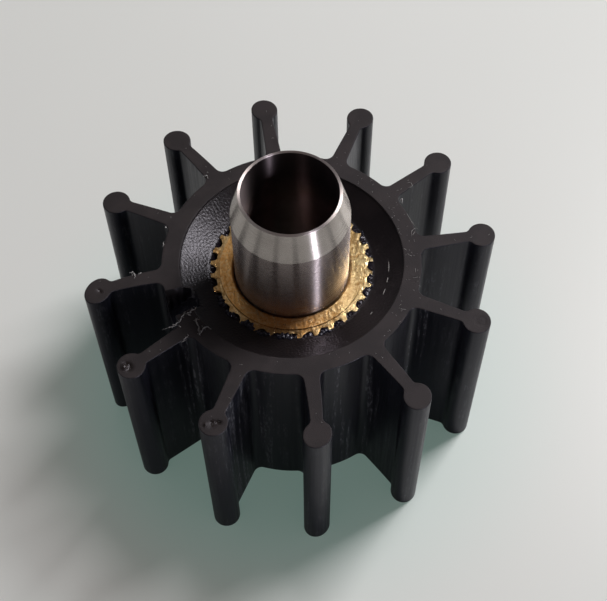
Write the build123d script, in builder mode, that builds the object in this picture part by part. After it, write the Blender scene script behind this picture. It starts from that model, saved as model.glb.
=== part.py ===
# Flexible impeller for a raw-water pump: a rubber vane wheel moulded round a
# scalloped brass insert, with a long steel sleeve pressed through the insert.
#
# Millimetres. The pump shaft's axis is Z. The origin is on that axis, in the
# plane of the lower hub face, so the wheel stands on z = 0 with the sleeve up.
# One vane points along +X and the others follow at equal angles.
from build123d import *
from math import cos, pi, radians, sin, sqrt
import os

# ---------------------------------------------------------------- dimensions
# rubber wheel
vane_count = 12
tip_dia = 95.0           # over the vane beads, free state
width = 52.0             # along the shaft, vanes and hub alike
hub_dia = 59.5           # between the vanes
bead_dia = 5.9           # round sealing bead at each vane tip
web_root = 3.7           # vane thickness where it leaves the hub
web_neck = 2.8           # vane thickness where it meets the bead
root_fillet = 2.0        # vane to hub
neck_fillet = 1.3        # vane to bead

# dished recess in both hub faces
face_ring = 4.15         # flat ring left between the recess and the hub's outside
rim_step = 0.35          # short straight wall under the recess rim
recess_depth = 3.5       # hub face down to the toothed face of the insert
floor_margin = 0.25      # flat rubber left round the tooth tips

# brass insert
insert_wall = 5.8        # sleeve to tooth tip
tooth_count = 32
scallop_radius = 1.45    # round gap between two teeth
scallop_depth = 1.55     # tooth tip to gap floor
tooth_turn = -1.3        # degrees from the first vane to the first tooth
land_setback = 0.75      # gap floor in to the edge of the raised land
land_height = 0.3        # land above the toothed face
mouth_chamfer = 0.75     # lead-in at both ends of the insert's bore

# steel sleeve
sleeve_dia = 26.3
sleeve_wall = 2.55
stand_out = 25.85        # hub face up to the sleeve's lip
nose_length = 7.4        # tapered end
lip_width = 0.6          # flat lip left at the top of the taper
foot_chamfer = 0.5       # outside edge of the lower end

# ------------------------------------------------------------ derived places
bead_circle = tip_dia / 2 - bead_dia / 2
hub_radius = hub_dia / 2
recess_radius = hub_radius - face_ring

sleeve_radius = sleeve_dia / 2
bore_radius = sleeve_radius - sleeve_wall
tooth_tip = sleeve_radius + insert_wall
tooth_root = tooth_tip - scallop_depth
land_radius = tooth_root - land_setback

toothed_top = width - recess_depth
toothed_bottom = recess_depth
land_top = toothed_top + land_height
land_bottom = toothed_bottom - land_height
sleeve_top = width + stand_out
sleeve_bottom = land_bottom

os.makedirs("parts", exist_ok=True)


# -------------------------------------------------------- scalloped outline
# The toothed edge is a circle with round bites taken out of it. The insert is
# extruded from it, and the same sketch cuts the rubber, so that rubber and
# brass share every flank of every tooth.
half_pitch = 180 / tooth_count

with BuildSketch(Plane.XY.offset(toothed_bottom)) as toothed_outline:
    Circle(tooth_tip)
    with PolarLocations(
        tooth_root + scallop_radius, tooth_count, start_angle=tooth_turn + half_pitch
    ):
        Circle(scallop_radius, mode=Mode.SUBTRACT)

# ------------------------------------------------------------- rubber wheel
# Wheel outline: the hub's circle, a tapered web for each vane that starts
# well inside the hub, and a round bead on its end.
web_start = hub_radius - face_ring / 2
neck_place = bead_circle - bead_dia / 2
web_slope = (web_root - web_neck) / 2 / (neck_place - hub_radius)
half_at_start = web_root / 2 + web_slope * (hub_radius - web_start)
half_at_bead = web_root / 2 - web_slope * (bead_circle - hub_radius)


def near_radius(low, high):
    """A test for vertices whose distance from the shaft's axis is in a range."""
    return lambda vertex: low < sqrt(vertex.X**2 + vertex.Y**2) < high


# One end's recess: a short straight wall at the rim, then a shallow cone down
# to a narrow flat round the tooth tips.
with BuildPart() as upper_recess:
    with BuildSketch(Plane.XZ):
        Polygon(
            (0, width),
            (recess_radius, width),
            (recess_radius, width - rim_step),
            (tooth_tip + floor_margin, toothed_top),
            (0, toothed_top),
            align=None,
        )
    revolve(axis=Axis.Z)

with BuildPart() as impeller_body:
    with BuildSketch() as wheel_outline:
        Circle(hub_radius)
        with PolarLocations(0, vane_count):
            Polygon(
                (web_start, -half_at_start),
                (bead_circle, -half_at_bead),
                (bead_circle, half_at_bead),
                (web_start, half_at_start),
                align=None,
            )
        with PolarLocations(bead_circle, vane_count):
            Circle(bead_dia / 2)
        necks = wheel_outline.vertices().filter_by(
            near_radius(bead_circle - bead_dia / 2 - 0.01, bead_circle)
        )
        fillet(necks, radius=neck_fillet)
        roots = wheel_outline.vertices().filter_by(
            near_radius(hub_radius - 0.01, hub_radius + 0.01)
        )
        fillet(roots, radius=root_fillet)
    extrude(amount=width)

    # the same recess in both faces
    add(upper_recess.part, mode=Mode.SUBTRACT)
    mirror(upper_recess.part, about=Plane.XY.offset(width / 2), mode=Mode.SUBTRACT)

    # the socket that the brass insert fills, tongues of rubber between its teeth
    add(toothed_outline.sketch)
    extrude(amount=toothed_top - toothed_bottom, mode=Mode.SUBTRACT)

impeller_body.part.label = "impeller_body"
export_step(impeller_body.part, "parts/impeller_body.step")

# ------------------------------------------------------------- brass insert
with BuildPart() as brass_insert:
    add(toothed_outline.sketch)
    extrude(amount=toothed_top - toothed_bottom)

    # raised lands, which the mould's cores close on
    with BuildSketch(Plane.XY.offset(land_bottom)):
        Circle(land_radius)
    extrude(amount=land_top - land_bottom)

    with BuildSketch(Plane.XY.offset(land_bottom)):
        Circle(sleeve_radius)
    extrude(amount=land_top - land_bottom, mode=Mode.SUBTRACT)

    # bore mouths
    bore_rims = brass_insert.edges().filter_by(GeomType.CIRCLE).filter_by(
        lambda edge: abs(edge.radius - sleeve_radius) < 0.001
    )
    chamfer(bore_rims, length=mouth_chamfer)

brass_insert.part.label = "brass_insert"
export_step(brass_insert.part, "parts/brass_insert.step")

# ------------------------------------------------------------- steel sleeve
with BuildPart() as steel_sleeve:
    with BuildSketch(Plane.XZ):
        with BuildLine():
            Polyline(
                (bore_radius, sleeve_bottom),
                (sleeve_radius - foot_chamfer, sleeve_bottom),
                (sleeve_radius, sleeve_bottom + foot_chamfer),
                (sleeve_radius, sleeve_top - nose_length),
                (bore_radius + lip_width, sleeve_top),
                (bore_radius, sleeve_top),
                close=True,
            )
        make_face()
    revolve(axis=Axis.Z)

steel_sleeve.part.label = "steel_sleeve"
export_step(steel_sleeve.part, "parts/steel_sleeve.step")

# ------------------------------------------------------------------ summary
for piece in (impeller_body, brass_insert, steel_sleeve):
    solid = piece.part
    size = solid.bounding_box().size
    print(f"{solid.label}: {solid.volume:.0f} mm3, {size.X:.1f} x {size.Y:.1f} x {size.Z:.1f} mm")
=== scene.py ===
# %% [markdown]
# # A rubber pump impeller, one cell at a time
# This notebook dresses a finished CAD model. The CAD holds the overall sizes; the cells below read
# them back, build finer surfaces in the same place with numpy, and give each surface its finish.
# Lengths are in metres, the pump shaft's axis is Z and the wheel stands on z = 0.

# %% Load the frame
import math

import bmesh
import bpy
import numpy as np
from mathutils import Matrix, Vector


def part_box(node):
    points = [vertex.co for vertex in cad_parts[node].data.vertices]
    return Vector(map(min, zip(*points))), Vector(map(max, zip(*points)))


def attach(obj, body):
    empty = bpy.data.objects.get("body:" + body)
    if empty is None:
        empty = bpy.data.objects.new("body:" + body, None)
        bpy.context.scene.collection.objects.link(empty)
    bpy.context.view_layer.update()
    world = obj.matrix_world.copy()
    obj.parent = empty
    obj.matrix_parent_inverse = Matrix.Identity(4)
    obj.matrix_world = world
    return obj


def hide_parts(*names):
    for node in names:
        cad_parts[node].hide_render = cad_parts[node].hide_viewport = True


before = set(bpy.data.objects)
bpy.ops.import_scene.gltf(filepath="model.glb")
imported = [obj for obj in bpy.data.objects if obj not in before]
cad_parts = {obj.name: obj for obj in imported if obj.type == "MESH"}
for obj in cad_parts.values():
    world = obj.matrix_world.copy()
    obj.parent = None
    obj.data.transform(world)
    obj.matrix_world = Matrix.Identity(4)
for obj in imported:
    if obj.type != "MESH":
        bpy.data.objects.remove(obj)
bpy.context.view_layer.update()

# %% [markdown]
# ## Sizes
# The boxes of the CAD nodes give the tip radius, the width and the sleeve's radius and ends. Only
# sizes inside an outline, such as a bead, a tooth or a fillet, have to be written here.

# %% Sizes
MM = 0.001
VANES, TEETH = 12, 32

body_low, body_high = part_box("impeller_body")
insert_low, insert_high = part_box("brass_insert")
sleeve_low, sleeve_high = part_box("steel_sleeve")

WIDTH, TIP = body_high.z, body_high.x
HUB = 29.75 * MM
BEAD = 3.18 * MM
WEB_ROOT, WEB_NECK = 3.7 * MM, 2.8 * MM
ROOT_FILLET, NECK_FILLET = 2.0 * MM, 1.3 * MM
RIM = HUB - 4.15 * MM
RIM_STEP, DISH_DEPTH = 0.35 * MM, 3.5 * MM
BEAD_CIRCLE = TIP - BEAD
MARK_CIRCLE = TIP - 2.95 * MM

SLEEVE = sleeve_high.x
BORE = SLEEVE - 2.55 * MM
LIP, NOSE, FOOT = BORE + 0.6 * MM, 7.4 * MM, 0.5 * MM
SLEEVE_TOP, SLEEVE_FOOT = sleeve_high.z, sleeve_low.z

TOOTH_TIP = SLEEVE + 5.8 * MM
SCALLOP, SCALLOP_DEPTH = 1.45 * MM, 1.55 * MM
TOOTH_ROOT = TOOTH_TIP - SCALLOP_DEPTH
TOOTH_TURN = math.radians(-1.3)
LAND, LAND_RISE = TOOTH_ROOT - 0.75 * MM, 0.3 * MM
MOUTH = 0.75 * MM
DISH_FLOOR = TOOTH_TIP + 0.25 * MM
print(f"beads centred at {BEAD_CIRCLE / MM:.2f} mm, sleeve {2 * SLEEVE / MM:.1f} mm across")
print(f"wheel from {body_low.z / MM:.2f} to {body_high.z / MM:.2f} mm up the shaft")
print(f"insert from {insert_low.z / MM:.2f} to {insert_high.z / MM:.2f} mm up the shaft")

# %% [markdown]
# ## Grids become objects
# Every surface here is a grid of points, rows by columns. `grid_faces` joins neighbours into
# quads and `make_piece` turns the arrays into an object. Edges soften through extra rows of
# points in the grid itself, so no modifier is needed and the mesh is what you see.

# %% Grid helpers
MERGE_WITHIN, SLIVER = 0.0005 * MM, 0.0002 * MM
MARKS = ("edge", "face", "dish", "gap")


def grid_faces(rows, columns, wrap=True):
    """Quads of a rows x columns grid; with wrap, the last column joins the first."""
    last = columns if wrap else columns - 1
    i, j = np.meshgrid(np.arange(rows - 1), np.arange(last), indexing="ij")
    k = (j + 1) % columns
    quads = [i * columns + j, i * columns + k, (i + 1) * columns + k, (i + 1) * columns + j]
    return np.stack(quads, -1).reshape(-1, 4)


def make_piece(name, sheets, material, smooth=40.0, marks=None):
    """One object from several sheets, each (points, faces). Doubles are merged, faces point out.

    marks maps a mark's name to one array per sheet; each becomes a point attribute."""
    starts = np.cumsum([0] + [len(points) for points, faces in sheets[:-1]])
    points = np.concatenate([points for points, faces in sheets])
    faces = np.concatenate([faces + start for (_, faces), start in zip(sheets, starts)])
    mesh = bpy.data.meshes.new(name)
    mesh.from_pydata(points.tolist(), [], faces.tolist())
    for mark, values in (marks or {}).items():
        layer = mesh.attributes.new(mark, "FLOAT", "POINT")
        layer.data.foreach_set("value", np.concatenate(values).astype(np.float32))
    work = bmesh.new()
    work.from_mesh(mesh)
    bmesh.ops.remove_doubles(work, verts=work.verts, dist=MERGE_WITHIN)
    bmesh.ops.dissolve_degenerate(work, edges=work.edges, dist=SLIVER)
    bmesh.ops.recalc_face_normals(work, faces=work.faces)
    unpaired = sum(len(edge.link_faces) != 2 for edge in work.edges)
    work.to_mesh(mesh)
    work.free()
    mesh.shade_smooth()
    mesh.set_sharp_from_angle(angle=math.radians(smooth))
    mesh.materials.append(material)
    piece = bpy.data.objects.new(name, mesh)
    bpy.context.scene.collection.objects.link(piece)
    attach(piece, "root")
    print(f"{name}: {len(mesh.vertices)} points, {len(mesh.polygons)} faces")
    print(f"{unpaired} of its edges don't join exactly two faces")
    return piece


print(f"a closed grid of 3 rows and 4 columns has {len(grid_faces(3, 4))} faces")

# %% [markdown]
# ## Flat outlines and gentle unevenness
# Most grids start as outlines in the plane: arcs that are joined, turned and given a height. And
# no real surface is quite even, so `bump` makes single hills, and `ripple` adds waves up into a
# smooth noise that moves the points themselves.

# %% Outline helpers
def on_circle(angle):
    """The point of the unit circle at an angle, or one point for each angle of an array."""
    return np.stack([np.cos(angle), np.sin(angle)], -1)


def arc(centre, radius, start, end, count):
    """count points on a circle about centre, from angle start to angle end."""
    return np.asarray(centre) + radius * on_circle(np.linspace(start, end, count))


def raised(flat, height):
    """Points of a plane given a height: one for all of them, or one each."""
    return np.concatenate([flat, np.broadcast_to(height, flat.shape[:-1])[..., None]], -1)


def turned(points, angle):
    """Points turned about Z by an angle."""
    c, s = math.cos(angle), math.sin(angle)
    x, y = points[..., 0], points[..., 1]
    return np.stack([c * x - s * y, s * x + c * y], -1)


def bump(x):
    """A smooth hill: 1 at x = 0, 0 from |x| = 1 outwards, (1 - x^2)^2 between."""
    return np.clip(1 - np.asarray(x) ** 2, 0, None) ** 2


def ripple(points, wavelength, seed, waves=14):
    """Smooth unevenness from -1 to 1: plane waves of about one wavelength in random directions, added up."""
    rng = np.random.default_rng(seed)
    heading = rng.normal(size=(waves, points.shape[-1]))
    heading /= np.linalg.norm(heading, axis=1, keepdims=True)
    rate = 2 * math.pi / (wavelength * rng.uniform(0.7, 1.6, waves))
    phase = rng.uniform(0, 2 * math.pi, waves)
    total = np.sin(points @ (heading * rate[:, None]).T + phase).sum(-1)
    return np.clip(total / math.sqrt(2 * waves), -1, 1)


print("three points of a quarter circle:", arc((0, 0), 1, 0, math.pi / 2, 3).round(2).tolist())

# %% [markdown]
# ## Shader nodes by hand
# A material is a graph. Short helpers keep the graphs readable: `node` adds a node and wires or
# sets its inputs, `sums` adds a Math node and hands back its output, and the others build on
# these two.

# %% Node helpers
def node(tree, kind, inputs=None, **settings):
    """Adds a shader node. inputs maps a socket's name or number to a value or to another socket."""
    made = tree.nodes.new("ShaderNode" + kind)
    for name, value in settings.items():
        setattr(made, name, value)
    for name, value in (inputs or {}).items():
        if isinstance(value, bpy.types.NodeSocket):
            tree.links.new(value, made.inputs[name])
        else:
            made.inputs[name].default_value = value
    return made


def sums(tree, operation, *values):
    """One Math node: values are numbers or sockets."""
    return node(tree, "Math", dict(enumerate(values)), operation=operation).outputs[0]


def product(tree, first, second):
    """One number times another, each a number or a socket."""
    return sums(tree, "MULTIPLY", first, second)


def noise(tree, place, scale, detail):
    """A Noise Texture in three dimensions, read as a number from about 0.2 to 0.8."""
    return node(tree, "TexNoise", {"Vector": place, "Scale": scale, "Detail": detail}).outputs[0]


def spread_map(tree, value, low, high, new_low=0.0, new_high=1.0):
    """Map Range from low..high to new_low..new_high, smooth at both ends and clamped."""
    inputs = {"Value": value, 1: low, 2: high, 3: new_low, 4: new_high}
    return node(tree, "MapRange", inputs, interpolation_type="SMOOTHSTEP").outputs[0]


def blend_colour(tree, share, first, second):
    """Mix of two colours, each a colour or a socket."""
    return node(tree, "Mix", {0: share, 6: first, 7: second}, data_type="RGBA").outputs[2]


def blend_value(tree, share, first, second):
    """Mix of two numbers, each a number or a socket."""
    return node(tree, "Mix", {0: share, 2: first, 3: second}).outputs[0]


def tinted(tree, colour, mask, strength, tint):
    """The colour, with up to `strength` of a tint over it where the mask says so."""
    return blend_colour(tree, product(tree, mask, strength), colour, tint)

# %% [markdown]
# ## Groups and marks
# A pattern that several finishes need becomes a node group, a small graph with named sockets:
# `new_group` makes an empty one and `use_group` places it. `mark` reads a point attribute, so
# that the grid can tell the finish where its edges and faces are.

# %% Group helpers
def new_group(name, inputs, outputs):
    """An empty node group with named sockets, and its input and output nodes."""
    tree = bpy.data.node_groups.new(name, "ShaderNodeTree")
    kinds = {"vector": "NodeSocketVector", "value": "NodeSocketFloat"}
    for label, (kind, default) in inputs.items():
        socket = tree.interface.new_socket(label, in_out="INPUT", socket_type=kinds[kind])
        if default is not None:
            socket.default_value = default
    for label in outputs:
        tree.interface.new_socket(label, in_out="OUTPUT", socket_type="NodeSocketFloat")
    print(f"{name}: {', '.join(inputs)} -> {', '.join(outputs)}")
    return tree, tree.nodes.new("NodeGroupInput").outputs, tree.nodes.new("NodeGroupOutput").inputs


def use_group(tree, group, inputs):
    """Places a node group in a material and returns its outputs."""
    return node(tree, "Group", inputs, node_tree=group).outputs


def mark(tree, name):
    """A point attribute written by make_piece, as a number."""
    return node(tree, "Attribute", attribute_name=name, attribute_type="GEOMETRY").outputs["Fac"]

# %% [markdown]
# ## Round parts think in radius and height
# The brass was turned on a lathe and the steel was ground while it spun, so their marks run round
# the shaft. The first group turns Object coordinates into radius and height, for finishes that
# change from ring to ring.

# %% Group: round place
round_place, came, leaves = new_group("round place", {"Place": ("vector", None)}, ["Radius", "Height"])
parts = node(round_place, "SeparateXYZ", {0: came["Place"]}).outputs
across_squared = product(round_place, parts[0], parts[0])
radius_squared = sums(round_place, "MULTIPLY_ADD", parts[1], parts[1], across_squared)
round_place.links.new(sums(round_place, "SQRT", radius_squared), leaves["Radius"])
round_place.links.new(parts[2], leaves["Height"])

# %% [markdown]
# ## Grain
# Moulded rubber copies the mould's skin, and brass has its own crystals. A coarse and a fine
# noise, added up, serve for both; `Size` is the width of a coarse lump in metres. `Patches` is a
# third noise, eleven times as wide, for a finish that changes from place to place.

# %% Group: skin grain
skin_grain, came, leaves = new_group(
    "skin grain", {"Place": ("vector", None), "Size": ("value", 0.0005)}, ["Height", "Patches"]
)
FINER, PATCH, FINE_PART = 3.7, 0.09, 0.35
per_metre = sums(skin_grain, "DIVIDE", 1.0, came["Size"])
coarse = noise(skin_grain, came["Place"], per_metre, 2.0)
fine = noise(skin_grain, came["Place"], product(skin_grain, per_metre, FINER), 1.0)
patches = noise(skin_grain, came["Place"], product(skin_grain, per_metre, PATCH), 3.0)
height = sums(skin_grain, "MULTIPLY_ADD", fine, FINE_PART, coarse)
skin_grain.links.new(height, leaves["Height"])
skin_grain.links.new(spread_map(skin_grain, patches, 0.38, 0.62), leaves["Patches"])

# %% [markdown]
# ## Drag streaks
# The wheel is pulled out of its mould along the shaft, and the mould drags fine streaks down the
# rubber. Noise whose third coordinate is squeezed stays the same for a long way along Z.

# %% Group: drag streaks
drag_streaks, came, leaves = new_group(
    "drag streaks",
    {"Place": ("vector", None), "Width": ("value", 0.0006), "Stretch": ("value", 30.0)},
    ["Height", "Glints"],
)
shrink = sums(drag_streaks, "DIVIDE", 1.0, came["Stretch"])
squeezed = node(drag_streaks, "CombineXYZ", {0: 1.0, 1: 1.0, 2: shrink}).outputs[0]
drawn = node(drag_streaks, "VectorMath", {0: came["Place"], 1: squeezed}, operation="MULTIPLY").outputs[0]
streak = noise(drag_streaks, drawn, sums(drag_streaks, "DIVIDE", 1.0, came["Width"]), 3.0)
drag_streaks.links.new(streak, leaves["Height"])
drag_streaks.links.new(spread_map(drag_streaks, streak, 0.56, 0.72), leaves["Glints"])

# %% [markdown]
# ## Turned lines
# A lathe leaves rings at a nearly even pitch. Noise of one coordinate alone gives lines of uneven
# strength, and a second noise, in space, makes them fade in and out round the part.

# %% Group: turned lines
turned_lines, came, leaves = new_group(
    "turned lines",
    {"Place": ("vector", None), "Across": ("value", 0.0), "Pitch": ("value", 0.0003)},
    ["Height", "Shade"],
)
FADES_PER_METRE = 260.0
ring_count = sums(turned_lines, "DIVIDE", came["Across"], came["Pitch"])
ring_noise = {"W": ring_count, "Scale": 1.0, "Detail": 3.0}
rings = node(turned_lines, "TexNoise", ring_noise, noise_dimensions="1D").outputs[0]
faded = spread_map(turned_lines, noise(turned_lines, came["Place"], FADES_PER_METRE, 2.0), 0.3, 0.6)
centred = sums(turned_lines, "SUBTRACT", rings, 0.5)
turned_lines.links.new(sums(turned_lines, "MULTIPLY_ADD", centred, faded, 0.5), leaves["Height"])
turned_lines.links.new(spread_map(turned_lines, rings, 0.35, 0.65), leaves["Shade"])

# %% [markdown]
# ## Pits and specks
# Cast brass has pores, and everything that has lain on a bench carries specks of dust. Both are
# small spots at random places, so one group makes them: cells of a Voronoi texture, of which
# only a `Share` is filled. Each spot has its own size, and a shaken place makes its edge uneven.

# %% Group: spots
spots, came, leaves = new_group(
    "spots",
    {"Place": ("vector", None), "Spacing": ("value", 0.001), "Share": ("value", 0.3), "Size": ("value", 0.2)},
    ["Mask"],
)
cell_rate = sums(spots, "DIVIDE", 1.0, came["Spacing"])
shake = node(spots, "TexNoise", {"Vector": came["Place"], "Scale": product(spots, cell_rate, 2.5)})
shaken = node(spots, "VectorMath", {0: shake.outputs[1], 1: (0.5, 0.5, 0.5)}, operation="SUBTRACT")
reach = node(spots, "VectorMath", {0: shaken.outputs[0], "Scale": came["Spacing"]}, operation="SCALE")
moved = node(spots, "VectorMath", {0: came["Place"], 1: reach.outputs[0]}, operation="ADD")
cells = node(spots, "TexVoronoi", {"Vector": moved.outputs[0], "Scale": cell_rate})
lot = node(spots, "SeparateXYZ", {0: cells.outputs["Color"]}).outputs
chosen = sums(spots, "LESS_THAN", lot[0], came["Share"])
own_size = product(spots, came["Size"], sums(spots, "MULTIPLY_ADD", lot[1], 0.8, 0.4))
closeness = sums(spots, "DIVIDE", cells.outputs["Distance"], own_size)
spot = spread_map(spots, closeness, 1.0, 0.6)
spots.links.new(product(spots, spot, chosen), leaves["Mask"])

# %% [markdown]
# ## Edge wear
# Edges rub first. The grids know where their rounded edges are and store that as the mark
# `edge`; this group breaks the mark up with noise, so that wear comes and goes.

# %% Group: edge wear
edge_wear, came, leaves = new_group(
    "edge wear",
    {"Place": ("vector", None), "Edge": ("value", 0.0), "Size": ("value", 0.002)},
    ["Mask"],
)
wear_rate = sums(edge_wear, "DIVIDE", 1.0, came["Size"])
broken = spread_map(edge_wear, noise(edge_wear, came["Place"], wear_rate, 4.0), 0.45, 0.62)
edge_wear.links.new(product(edge_wear, broken, came["Edge"]), leaves["Mask"])

# %% [markdown]
# ## Where a material starts and ends
# Every finish starts from Object coordinates, which stay with the piece, and ends in one
# Principled shader with a colour, a roughness and a bump. Two functions do these ends, so the
# cells that follow hold only what is special about each finish.

# %% Ends of a material
def start_material(name):
    """A new material: its tree, its Principled shader and its Object coordinates."""
    material = bpy.data.materials.new(name)
    material.use_nodes = True
    tree = material.node_tree
    shader = tree.nodes["Principled BSDF"]
    place = node(tree, "TexCoord").outputs["Object"]
    return material, tree, shader, place


def finish_surface(tree, shader, colour, roughness, height, depth):
    """Wires colour and roughness, and turns a height from 0 to 1 into a bump of `depth` metres."""
    tree.links.new(colour, shader.inputs["Base Color"])
    tree.links.new(roughness, shader.inputs["Roughness"])
    relief = node(tree, "Bump", {"Height": height, "Distance": depth, "Strength": 1.0})
    tree.links.new(relief.outputs[0], shader.inputs["Normal"])
    print(f"a finish of {len(tree.nodes)} nodes, with a relief of {depth / MM:.3f} mm")

# %% [markdown]
# ## Rubber
# The wheel is black neoprene, and one black is not enough. The flat faces were cut or ground:
# matte, and a warm brown-grey. The walls kept the mould's satin skin and look deeper, and the blue
# in their colour is a painted reflection. The recess has a coarser, glossier skin, like the peel of
# an orange. The marks choose between the three, and streaks, dust and rubbed edges go on top. Use
# has scraped the walls along the shaft in pale lines of short dashes, most of all near the
# `RUBBED_SPOTS`, given in millimetres as the place seen along the shaft and the reach around it.
# Each finish is a pair of colours, dark and light, that its own noise mixes.

# %% Material: black rubber
RUBBED_SPOTS = [(-16, -34, 11), (13.3, -29.7, 3.5), (26.2, -17.4, 4), (-25.3, -17.5, 4), (7.7, -29, 3)]
RUBBED_ELSEWHERE, LONG_PART, SHORT_PART = 0.25, 0.15, 0.8
WALL_BLACKS = (0.0062, 0.0066, 0.0125, 1), (0.0150, 0.0152, 0.0245, 1)
FACE_BROWNS = (0.0100, 0.0075, 0.0070, 1), (0.0275, 0.0210, 0.0200, 1)
DISH_BLACKS = (0.0066, 0.0050, 0.0054, 1), (0.0100, 0.0076, 0.0080, 1)
GAP_BLACK, SCRAPED_GREY = (0.0085, 0.0060, 0.0105, 1), (0.185, 0.185, 0.215, 1)
RUBBED_GREY, DUST_GREY = (0.055, 0.050, 0.050, 1), (0.16, 0.15, 0.15, 1)
FACE_ROUGH, DISH_ROUGH, GAP_ROUGH = 0.6, 0.30, 0.2


rubber, tree, shader, place = start_material("black rubber")
grain = use_group(tree, skin_grain, {"Place": place, "Size": 0.6 * MM})
fine_grain = use_group(tree, skin_grain, {"Place": place, "Size": 0.14 * MM})
streaks = use_group(tree, drag_streaks, {"Place": place, "Width": 0.7 * MM, "Stretch": 40.0})
scrapes = use_group(tree, drag_streaks, {"Place": place, "Width": 1.2 * MM, "Stretch": 28.0})
dashes = use_group(tree, drag_streaks, {"Place": place, "Width": 0.4 * MM, "Stretch": 5.0})
dust = use_group(tree, spots, {"Place": place, "Spacing": 1.9 * MM, "Share": 0.1, "Size": 0.075})
wear = use_group(tree, edge_wear, {"Place": place, "Edge": mark(tree, "edge"), "Size": 1.6 * MM})
face, dish, gap = mark(tree, "face"), mark(tree, "dish"), mark(tree, "gap")

flat_place = node(tree, "VectorMath", {0: place, 1: (1, 1, 0)}, operation="MULTIPLY").outputs[0]
scraped_here = product(tree, grain["Patches"], RUBBED_ELSEWHERE)
for spot_x, spot_y, reach in RUBBED_SPOTS:
    spot_middle = (spot_x * MM, spot_y * MM, 0)
    away = node(tree, "VectorMath", {0: flat_place, 1: spot_middle}, operation="DISTANCE").outputs["Value"]
    here = spread_map(tree, away, reach * MM, 0.5 * reach * MM)
    scraped_here = sums(tree, "MAXIMUM", scraped_here, here)
long_lines = spread_map(tree, scrapes["Height"], 0.50, 0.60)
short_lines = product(tree, spread_map(tree, dashes["Height"], 0.52, 0.60), long_lines)
scraped = sums(tree, "MULTIPLY_ADD", long_lines, LONG_PART, product(tree, short_lines, SHORT_PART))
scraped = product(tree, scraped, scraped_here)

face_patches = product(tree, grain["Patches"], 0.4)
face_tone = sums(tree, "MULTIPLY_ADD", fine_grain["Height"], 0.6, face_patches)
# The walls' dark colours carry a blue tint, a painted reflection.
wall_colour = blend_colour(tree, streaks["Height"], *WALL_BLACKS)
colour = blend_colour(tree, face, wall_colour, blend_colour(tree, face_tone, *FACE_BROWNS))
colour = blend_colour(tree, dish, colour, blend_colour(tree, grain["Patches"], *DISH_BLACKS))
colour = tinted(tree, colour, gap, dish, GAP_BLACK)
on_wall = sums(tree, "SUBTRACT", sums(tree, "SUBTRACT", 1.0, face), dish)
colour = tinted(tree, colour, scraped, on_wall, SCRAPED_GREY)
colour = tinted(tree, colour, wear["Mask"], 0.15, RUBBED_GREY)
colour = tinted(tree, colour, dust["Mask"], 0.55, DUST_GREY)

rough = spread_map(tree, streaks["Height"], 0.3, 0.7, 0.31, 0.42)
for share, share_rough in ((face, FACE_ROUGH), (dish, DISH_ROUGH), (gap, GAP_ROUGH)):
    rough = blend_value(tree, share, rough, share_rough)

fine_part = product(tree, fine_grain["Height"], 0.12)
relief = sums(tree, "MULTIPLY_ADD", streaks["Height"], 0.6, fine_part)
relief = blend_value(tree, face, relief, product(tree, fine_grain["Height"], 0.7))
relief = blend_value(tree, dish, relief, product(tree, grain["Height"], 0.8))
finish_surface(tree, shader, colour, rough, relief, 0.06 * MM)
shader.inputs["Specular IOR Level"].default_value = 0.27
shader.inputs["Specular Tint"].default_value = (0.88, 0.84, 0.93, 1)

# %% [markdown]
# ## Brass
# The insert was turned and then had its teeth cut, so its end face shows rings, pores and the
# strokes of a file. At the front and the left, in the sleeve's shadow, the raised land is painted
# orange as warm light bounced into that shade, and the toothed ring round it less so; at the right
# both are pale. Bright specks and dark stains break the colour up, dirt sits in the pores, dirt and
# a painted shade darken the line along the step, and the mouth round the sleeve is painted dark as
# shade, most at the left.

# %% Material: turned brass
LAND_BRASS = (0.29, 0.172, 0.064, 1), (0.49, 0.365, 0.18, 1)
RING_BRASS = (0.27, 0.168, 0.068, 1), (0.44, 0.33, 0.165, 1)
PAINTED_BOUNCE_ORANGE, SPECK, STAIN = (0.70, 0.34, 0.10, 1), (0.72, 0.56, 0.32, 1), (0.16, 0.085, 0.03, 1)
LINE_BROWN, BRIGHT = (0.20, 0.11, 0.04, 1), (0.80, 0.62, 0.32, 1)
DIRT_AND_STEP_SHADE, BRASS_MOUTH_SHADE = (0.05, 0.03, 0.014, 1), (0.035, 0.022, 0.015, 1)

brass, tree, shader, place = start_material("turned brass")
where = use_group(tree, round_place, {"Place": place})
lines = use_group(tree, turned_lines, {"Place": place, "Across": where["Radius"], "Pitch": 0.22 * MM})
grain = use_group(tree, skin_grain, {"Place": place, "Size": 0.35 * MM})
lumps = use_group(tree, skin_grain, {"Place": place, "Size": 0.8 * MM})
axes = node(tree, "SeparateXYZ", {0: place}).outputs
filed_way = node(tree, "CombineXYZ", {0: axes[0], 1: axes[2], 2: axes[1]}).outputs[0]
filed = use_group(tree, drag_streaks, {"Place": filed_way, "Width": 0.7 * MM, "Stretch": 9.0})
pores = use_group(tree, spots, {"Place": place, "Spacing": 0.9 * MM, "Share": 0.5, "Size": 0.2})
wear = use_group(tree, edge_wear, {"Place": place, "Edge": mark(tree, "edge"), "Size": 1.2 * MM})
outer = spread_map(tree, where["Radius"], LAND - 0.15 * MM, LAND + 0.2 * MM)
in_mouth = spread_map(tree, where["Radius"], SLEEVE + 0.65 * MOUTH, SLEEVE + 0.25 * MOUTH)
step_line = sums(tree, "COMPARE", where["Radius"], LAND + 0.04 * MM, 0.07 * MM)

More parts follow.
